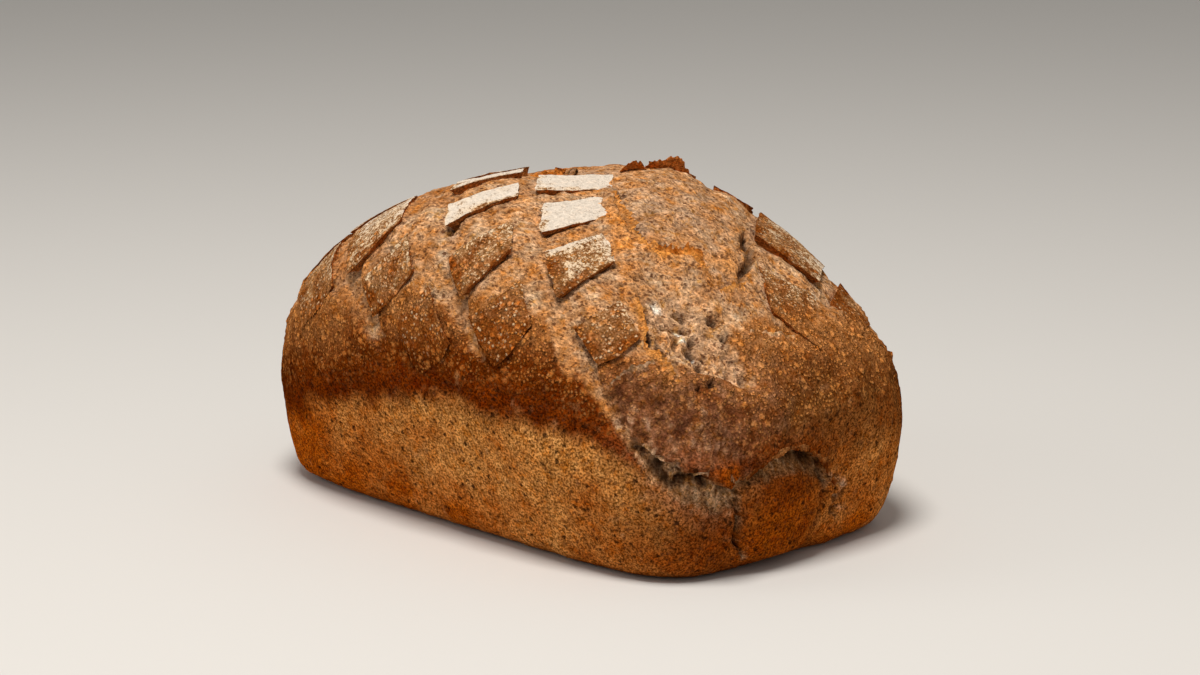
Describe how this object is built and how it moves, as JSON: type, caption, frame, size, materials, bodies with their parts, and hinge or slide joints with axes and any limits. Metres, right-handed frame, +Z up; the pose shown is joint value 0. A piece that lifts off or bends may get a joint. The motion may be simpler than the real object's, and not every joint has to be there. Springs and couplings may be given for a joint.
{
  "type": "whole wheat sourdough loaf",
  "caption": "Tin-baked whole wheat sourdough loaf: flat base, moulded sides, and a domed top of raised diamond-scored crust plates with a burst, cracked end.",
  "frame": {"origin": "middle of the flat base, on the surface the loaf rests on", "axes": "+Z up, +X along the loaf towards its burst end, +Y across it to the side the picture does not show"},
  "size_m": [0.2236, 0.1529, 0.1179],
  "materials": {
    "crust": null
  },
  "bodies": {
    "root": {"loaf": "crust"}
  },
  "joints": []
}
